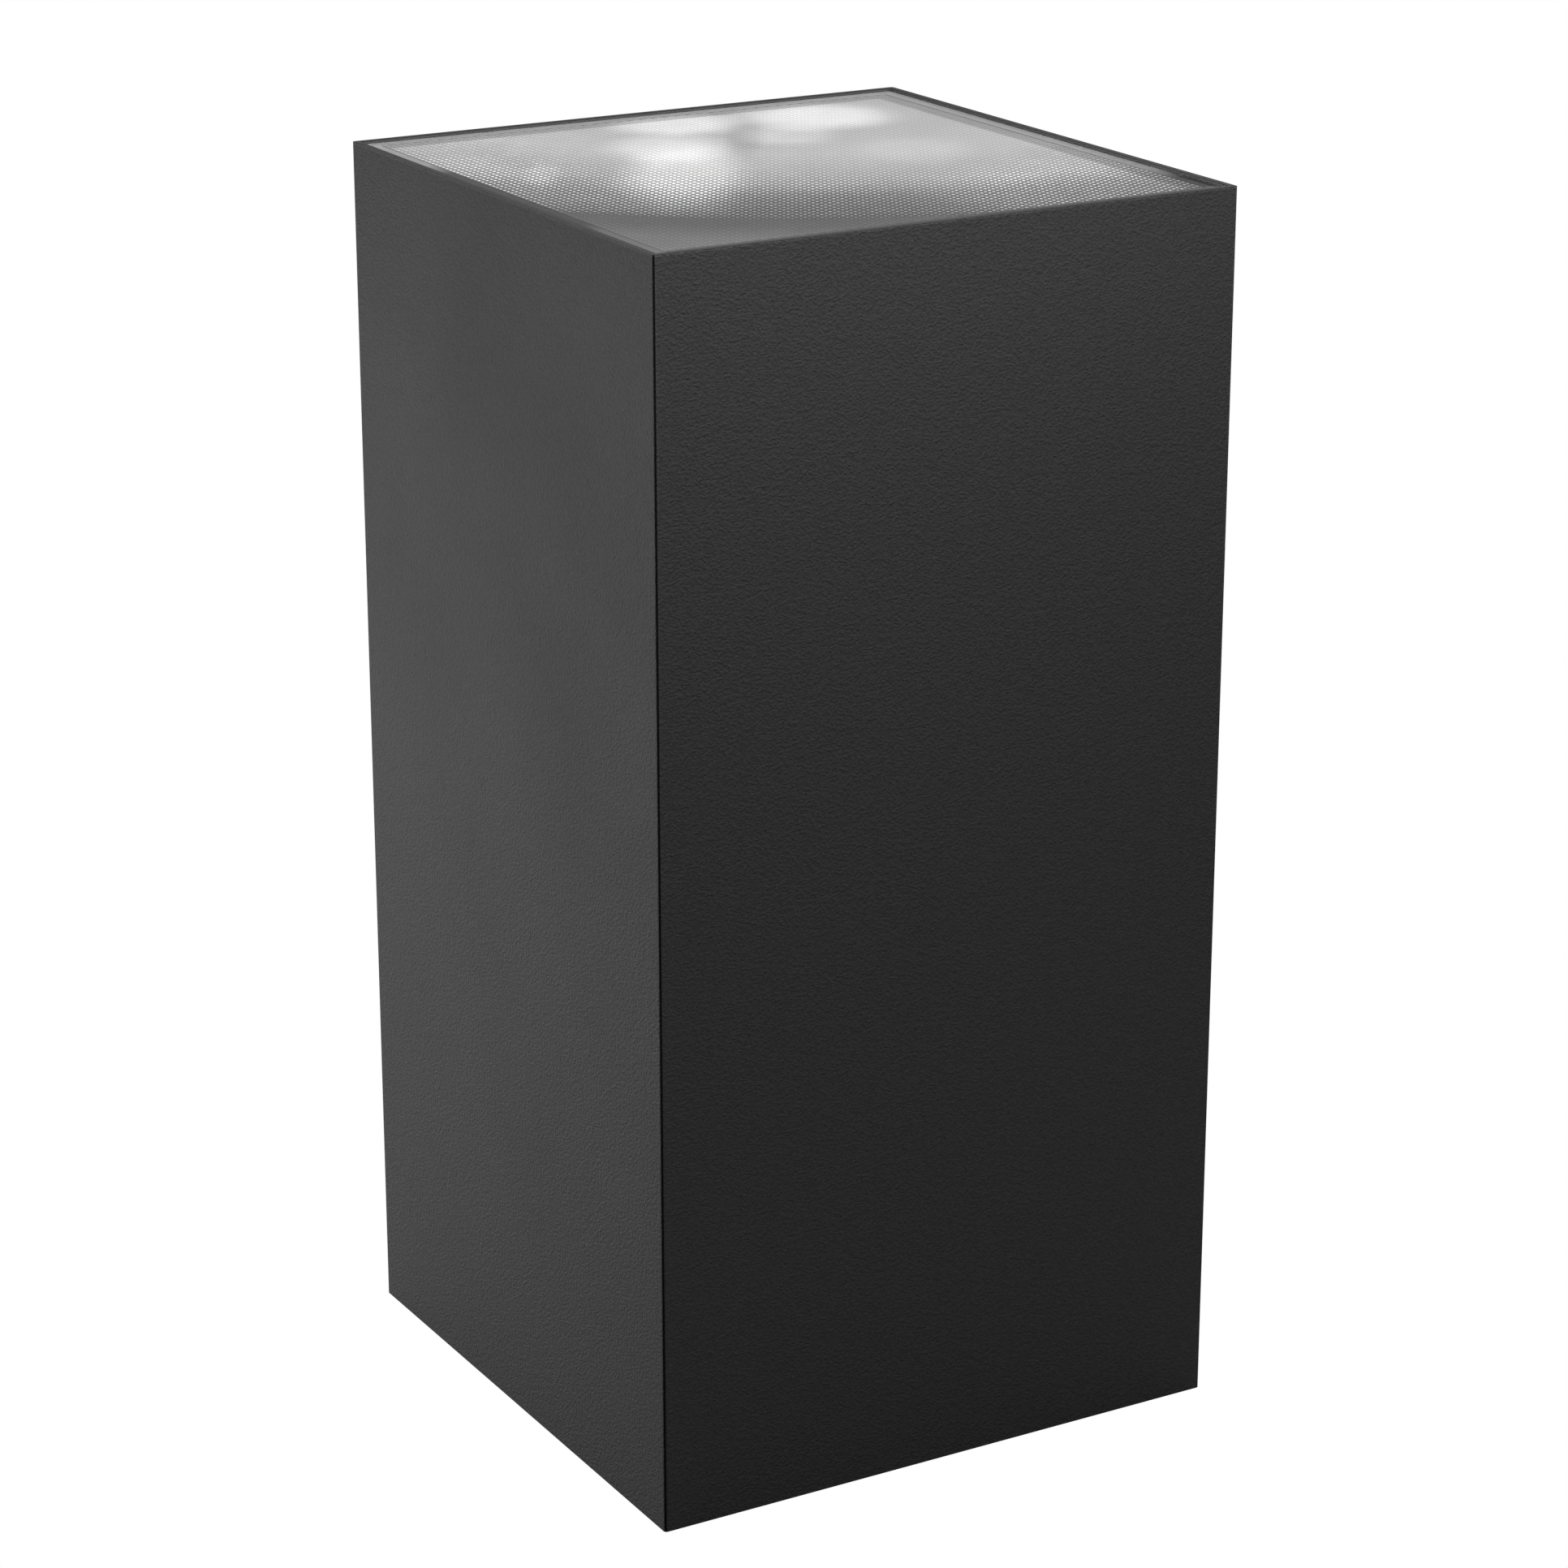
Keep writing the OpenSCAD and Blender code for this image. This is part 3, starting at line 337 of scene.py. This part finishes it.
def surface(name, color, rough, metallic=0.0, grain=1.0 * MM, spread=0.12, depth=0.02 * MM,
            stretch=(1, 1, 1), coat=0.0):
    """Generic finish: grain breaks up its colour and relief, and larger, softer patches its gloss."""
    t = material(name)
    fine = t.noise(grain, detail=3, stretch=stretch)
    patches = t.noise(PATCH_SIZE, detail=4)
    return t.principled({
        "Base Color": t.tint(t.blend(fine, patches, PATCH_SHARE), color, spread),
        "Roughness": t.remap(patches, rough - ROUGH_SPREAD, rough + ROUGH_SPREAD),
        "Normal": t.bump(fine, depth),
        "Metallic": metallic,
        "Coat Weight": coat,
    })


def powder_coat():
    """Dark grey coat with a wrinkled grain; painted shade on its rim and corners, a painted highlight on the
    rounded edge of the rim, and painted light on the wall's inner face over the lens.
    """
    t = material("powder_coat")
    x, y, z = t.axes_mm()
    side_x, side_y = t.math("ABSOLUTE", x), t.math("ABSOLUTE", y)
    # Painted shade: a dark line down the upright corners
    corner = t.times(*(t.step(side, HALF_MM - 0.55, HALF_MM - 0.35) for side in (side_x, side_y)))
    # Painted shade on the top face of the rim
    rim = t.step(z, TOP_MM - 0.12, TOP_MM - 0.04)
    # Painted highlight on the rounded edge under the rim
    lip_low = TOP_MM - 1000 * EDGE_BEVEL
    lip = t.step(z, lip_low - 0.06, lip_low + 0.04)
    # Painted light on the wall's inner face, brightest at its foot over the lens and fading towards the top
    inside = t.step(t.math("MAXIMUM", side_x, side_y), HALF_MM - WALL_MM + 0.1, HALF_MM - WALL_MM)
    tone = t.blend(1.0, t.remap(z, SPILL_PAINTED_LIGHT, 0.9, 1000 * LENS_HIGH.z, TOP_MM), inside)
    for mask, mask_tone in ((corner, CORNER_PAINTED_SHADE), (lip, LIP_PAINTED_HIGHLIGHT), (rim, RIM_PAINTED_SHADE)):
        tone = t.times(tone, t.toned(mask, mask_tone))
    wrinkle = t.noise(WRINKLE, distortion=0.15, stretch=(1, 1, 1.2))
    return t.principled({
        "Base Color": t.scaled(t.tint(wrinkle, COAT, 0.1), tone),
        "Roughness": t.remap(t.noise(60 * MM, detail=3), 0.52, 0.62),
        "Normal": t.bump(t.noise(0.45 * MM), 0.05 * MM, t.bump(wrinkle, GRAIN_DEPTH)),
        "Specular IOR Level": COAT_SPECULAR,
    })


def clear_skin():
    """Polished face of the lens: a Fresnel mirror over nothing, with a trace of dust in its gloss."""
    t = material("clear_skin")
    haze = t.noise(9 * MM, detail=4)
    mirror = t.node("BsdfGlossy", {"Roughness": t.remap(haze, 0.03, 0.08)})["BSDF"]
    through = t.node("BsdfTransparent", {"Color": (0.97, 0.97, 0.97, 1)})["BSDF"]
    share = t.node("Fresnel", {"IOR": 1.49})["Fac"]
    return t.show(t.node("MixShader", {"Fac": share, 1: through, 2: mirror})["Shader"])


def painted_light_pool(t, centre, reach, width, heading):
    """Painted pool of light: a soft ellipse, 1 at its centre and 0 outside; sizes in metres, heading in
    degrees from +X.
    """
    place = t.node("TexCoord", {})["Object"]
    inputs = {"Vector": place, "Location": (*centre, FIELD_TOP), "Rotation": (0, 0, math.radians(heading)),
              "Scale": (reach, width, 1)}
    local = t.node("Mapping", inputs, vector_type="TEXTURE")["Vector"]
    sphere = t.node("TexGradient", {"Vector": local}, gradient_type="SPHERICAL")["Fac"]
    return t.step(sphere, 0.0, 0.65)


def field_depth(t, x, y):
    """How far a place lies from the near corner to the far one, 0 to 1, along bands that bow."""
    along_x, along_y = math.cos(math.radians(FIELD_HEADING)), math.sin(math.radians(FIELD_HEADING))
    depth = t.math("ADD", t.times(x, along_x), t.times(y, along_y))
    across = t.math("SUBTRACT", t.times(x, along_y), t.times(y, along_x))
    bow = t.times(t.math("POWER", across, 2.0), FIELD_BOW)
    return t.remap(t.math("SUBTRACT", depth, bow), 0, 1, -FIELD_REACH_MM, FIELD_REACH_MM)


def dome_field():
    """Moulded domes over the bowl, with painted light and shade: pools of light, a dim near corner, shaded
    far sides, and each dome darkest at its foot and lightest at its top.
    """
    t = material("dome_field")
    x, y, z = t.axes_mm()
    depth = field_depth(t, x, y)
    level = t.greys(depth, FIELD_PAINTED_LIGHT)
    # Painted pools of light, kept out of the dim near corner
    lit = t.step(depth, LIT_FROM, LIT_TO)
    for *place, strength in PAINTED_LIGHT_POOLS:
        level = t.math("ADD", level, t.times(t.times(painted_light_pool(t, *place), lit), strength))
    # Painted shade on the far sides of the field
    far = t.math("MAXIMUM", *(t.step(axis, SHADE_FROM_MM, SHADE_FROM_MM + 0.6) for axis in (x, y)))
    level = t.times(level, t.toned(far, SHADE_TONE))
    # Painted highlight at each dome's top and painted shade at its foot, stronger in a band across the field
    rise = t.step(z, FIELD_TOP_MM - 1000 * DOME_CAP * DOME_RELIEF, FIELD_TOP_MM)
    swing = t.times(t.greys(depth, FIELD_PAINTED_SWING), t.math("SUBTRACT", rise, SWING_MIDDLE))
    level = t.times(level, t.math("ADD", swing, 1.0))
    cloud = t.noise(7 * MM, detail=3)
    level = t.times(level, t.remap(cloud, 0.97, 1.03))
    return t.principled({
        "Base Color": t.math("MAXIMUM", level, 0.02),
        "Roughness": t.remap(cloud, 0.30, 0.40),
        "Specular IOR Level": LENS_SPECULAR,
    })


def margin_finish():
    """Margin of the lens: the seal shows through, with painted shade of the pan on the near sides and at one
    corner, and painted shade in the groove.
    """
    t = material("lens_margin")
    x, y, z = t.axes_mm()
    along_x, along_y = (t.remap(axis, 0, 1, -HALF_MM, HALF_MM) for axis in (x, y))
    start = 1000 * (LENS_HIGH.x - LENS_MARGIN) - 0.2
    right = t.step(x, start, start + 0.1)
    front = t.step(y, -start, -start - 0.1)
    left = t.step(x, -start, -start - 0.1)
    # Painted light and shade: a brightness along each side of the margin
    level = MARGIN_BACK
    for along, points, side in ((along_y, MARGIN_RIGHT, right), (along_x, MARGIN_FRONT, front),
                                (along_y, MARGIN_LEFT, left)):
        level = t.blend(level, t.greys(along, points), side)
    cloud = t.noise(5 * MM, detail=4)
    # Painted shade darkens the groove
    groove = 1000 * GROOVE_DEPTH
    flat = t.step(z, FIELD_TOP_MM - groove, FIELD_TOP_MM - 0.1 * groove)
    level = t.times(t.times(level, t.remap(cloud, 0.96, 1.04)), t.remap(flat, GROOVE_PAINTED_SHADE, 1.0, 0, 1))
    return t.principled({
        "Base Color": level,
        "Roughness": t.remap(cloud, 0.45, 0.55),
        "Normal": t.bump(t.noise(0.5 * MM), 0.01 * MM),
        "Specular IOR Level": LENS_SPECULAR,
    })


def make_finishes():
    """Every material, by its record slot or by its piece."""
    made = {slot: surface(slot, **values) for slot, values in SURFACES.items()}
    made["powder_coat"] = powder_coat()
    made["lens"] = clear_skin()
    made["dome_field"] = dome_field()
    made["lens_margin"] = margin_finish()
    return made


def dress_cad_nodes(finish):
    """Gives every CAD node the material of its record slot."""
    slots = {s["node"]: s["material_slot"] for s in frame["record"]["subparts"]}
    for name, obj in NODES.items():
        obj.data.materials.clear()
        obj.data.materials.append(finish[slots[name]])


# ---- pieces ----

def soften(name, width, angle=35.0, segments=2):
    """Welds a CAD node's split corners and rounds its sharp edges, inwards."""
    obj = NODES[name]
    weld = obj.modifiers.new("weld", "WELD")
    weld.merge_threshold = 0.002 * MM
    bevel = obj.modifiers.new("bevel", "BEVEL")
    bevel.width = width
    bevel.segments = segments
    bevel.limit_method = "ANGLE"
    bevel.angle_limit = math.radians(angle)
    bevel.harden_normals = False


def rounded_outline(half, radius, steps):
    """Corner points of a rounded square, anticlockwise."""
    points = []
    for k, (sx, sy) in enumerate([(1, 1), (-1, 1), (-1, -1), (1, -1)]):
        cx, cy = sx * (half - radius), sy * (half - radius)
        for i in range(steps + 1):
            a = math.radians(90 * (k + i / steps))
            points.append((cx + radius * math.cos(a), cy + radius * math.sin(a)))
    return points


def lens_outline(inset):
    """Outline of the lens, drawn in by `inset`."""
    radius = max(LENS_CORNER - inset, LENS_CORNER_LEAST)
    return rounded_outline(LENS_HIGH.x - inset, radius, LENS_CORNER_STEPS)


def ring_walls(outlines, closed=False):
    """Bands between successive (outline, height) pairs; `closed` adds a face over the last."""
    vertices = [(x, y, z) for points, z in outlines for x, y in points]
    count = len(outlines[0][0])
    faces = []
    for start in range(0, len(vertices) - count, count):
        for i in range(count):
            j = (i + 1) % count
            faces.append((start + i, start + j, start + count + j, start + count + i))
    if closed:
        faces.append(tuple(range(len(vertices) - count, len(vertices))))
    return vertices, faces


def dome(cx, cy, half, base_z):
    """Rings and tip of one dome, cut off square at the field's edge."""
    corner = DOME_PITCH / math.sqrt(3)
    points = []
    for r, rise in DOME_PROFILE:
        for a in (k * math.pi / 3 for k in range(6)):
            points.append((cx + r * corner * math.cos(a), cy + r * corner * math.sin(a), rise))
    points.append((cx, cy, 1.0))
    return [(max(-half, min(half, x)), max(-half, min(half, y)), base_z + rise * DOME_RELIEF)
            for x, y, rise in points]


def dome_faces(start):
    """Faces of the dome whose vertices begin at `start`."""
    tip = start + 6 * len(DOME_PROFILE)
    faces = []
    for ring in range(start, tip, 6):
        for k in range(6):
            p, q = ring + k, ring + (k + 1) % 6
            faces.append((p, q, tip) if ring == tip - 6 else (p, q, q + 6, p + 6))
    return faces


def dome_mesh(half, base_z):
    """Vertices and faces of hexagonal domes over a square; the outermost are cut off square."""
    corner = DOME_PITCH / math.sqrt(3)
    columns = int(half / (1.5 * corner)) + 1
    rows = int(half / DOME_PITCH) + 1
    vertices, faces = [], []
    for i in range(-columns, columns + 1):
        for j in range(-rows, rows + 1):
            cx, cy = i * 1.5 * corner, (j + 0.5 * (i % 2)) * DOME_PITCH
            if abs(cx) > half + 0.6 * corner or abs(cy) > half + 0.45 * DOME_PITCH:
                continue
            faces += dome_faces(len(vertices))
            vertices += dome(cx, cy, half, base_z)
    return vertices, faces


def lens_piece(name, shape, finish):
    """Mesh object that stands in for the lens, riding on the head."""
    vertices, faces = shape
    mesh = bpy.data.meshes.new(name)
    mesh.from_pydata(vertices, [], faces)
    mesh.update()
    mesh.materials.append(finish)
    obj = bpy.data.objects.new(name, mesh)
    bpy.context.scene.collection.objects.link(obj)
    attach(obj, "head")
    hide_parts("top_lens")
    return obj


def prismatic_lens(finish):
    """Lens in the rim: clear skin, domes just beneath it, and a margin split from them by a groove."""
    base_z = FIELD_TOP - DOME_RELIEF
    margin = lens_outline(LENS_MARGIN - GROOVE_W)
    groove = lens_outline(LENS_MARGIN - 0.5 * GROOVE_W)

    domes = lens_piece("lens_domes", dome_mesh(LENS_HIGH.x - LENS_MARGIN, base_z), finish["dome_field"])
    for polygon in domes.data.polygons:
        polygon.use_smooth = True

    rim = [(lens_outline(0), LENS_LOW.z), (lens_outline(0), FIELD_TOP), (margin, FIELD_TOP),
           (groove, FIELD_TOP - GROOVE_DEPTH), (lens_outline(LENS_MARGIN), base_z)]
    lens_piece("lens_margin", ring_walls(rim), finish["lens_margin"])

    skin = [(lens_outline(0), FIELD_TOP), (lens_outline(0), LENS_HIGH.z - LENS_EDGE),
            (lens_outline(LENS_EDGE), LENS_HIGH.z)]
    lens_piece("lens_skin", ring_walls(skin, closed=True), finish["lens"])

    underside = [(lens_outline(0), LENS_LOW.z), (margin, LENS_LOW.z)]
    lens_piece("lens_underside", ring_walls(underside, closed=True), finish["lens_margin"])


# ---- stage ----

def floor_finish():
    """White where it is seen, and darker for the light that it gives back."""
    t = material("studio_floor")
    camera_ray = t.node("LightPath", {})["Is Camera Ray"]
    back = t.node("BsdfDiffuse", {"Color": (FLOOR_BOUNCE, FLOOR_BOUNCE, FLOOR_BOUNCE, 1)})["BSDF"]
    shown = t.node("Emission", {"Strength": 1.0})["Emission"]
    return t.show(t.node("MixShader", {"Fac": camera_ray, 1: back, 2: shown})["Shader"])


def studio_floor():
    """Large square just under the object."""
    mesh = bpy.data.meshes.new("studio_floor")
    corners = [(sx * FLOOR_HALF, sy * FLOOR_HALF, 0) for sx, sy in [(-1, -1), (1, -1), (1, 1), (-1, 1)]]
    mesh.from_pydata(corners, [], [(0, 1, 2, 3)])
    mesh.materials.append(floor_finish())
    floor = bpy.data.objects.new("studio_floor", mesh)
    floor.location.z = CAD_BOX[0].z - FLOOR_GAP
    bpy.context.scene.collection.objects.link(floor)


def surroundings():
    """World that is white where it is seen, and dimmer for the light that it gives."""
    world = bpy.data.worlds.new("studio")
    bpy.context.scene.world = world
    t = Tree(world)
    white = (1, 1, 1, 1)
    camera_ray = t.node("LightPath", {})["Is Camera Ray"]
    lit = t.node("Background", {"Color": white, "Strength": WORLD_LIGHT})["Background"]
    seen = t.node("Background", {"Color": white, "Strength": 1.0})["Background"]
    mixed = t.node("MixShader", {"Fac": camera_ray, 1: lit, 2: seen})["Shader"]
    t.show(mixed, default="Background", output="World Output")


def softbox(name, place, target, size, power):
    """Rectangular area lamp at `place`, aimed at `target`; size is (width, height)."""
    light = bpy.data.lights.new(name, "AREA")
    light.shape = "RECTANGLE"
    light.size, light.size_y = size
    light.energy = power
    obj = bpy.data.objects.new(name, light)
    obj.location = place
    obj.rotation_euler = (target - place).to_track_quat("-Z", "Y").to_euler()
    obj.visible_camera = False
    bpy.context.scene.collection.objects.link(obj)


def camera():
    """Camera above the upright edge between the front and left sides."""
    a, e = math.radians(CAMERA_AZIMUTH), math.radians(CAMERA_ELEVATION)
    back = Vector((math.sin(a) * math.cos(e), -math.cos(a) * math.cos(e), math.sin(e)))
    data = bpy.data.cameras.new("camera")
    data.lens = CAMERA_LENS
    data.sensor_width = CAMERA_SENSOR
    data.clip_end = CAMERA_FAR
    obj = bpy.data.objects.new("camera", data)
    obj.rotation_euler = (-back).to_track_quat("-Z", "Y").to_euler()
    up = obj.rotation_euler.to_matrix() @ Vector((0, 1, 0))
    centre = (CAD_BOX[0] + CAD_BOX[1]) / 2
    obj.location = centre + back * (CAMERA_DISTANCE * BODY_W) - up * (CAMERA_DROP * BODY_W)
    bpy.context.scene.collection.objects.link(obj)
    bpy.context.scene.camera = obj


camera()
studio_floor()
surroundings()
for lamp, place, aim, size, power in LAMPS:
    softbox(lamp, Vector(place), Vector(aim), size, power)

finishes = make_finishes()
dress_cad_nodes(finishes)
prismatic_lens(finishes)
soften("housing", EDGE_BEVEL)
for node_name, width in SOFT_EDGES.items():
    soften(node_name, width * MM)

bpy.context.scene.view_settings.view_transform = "Standard"
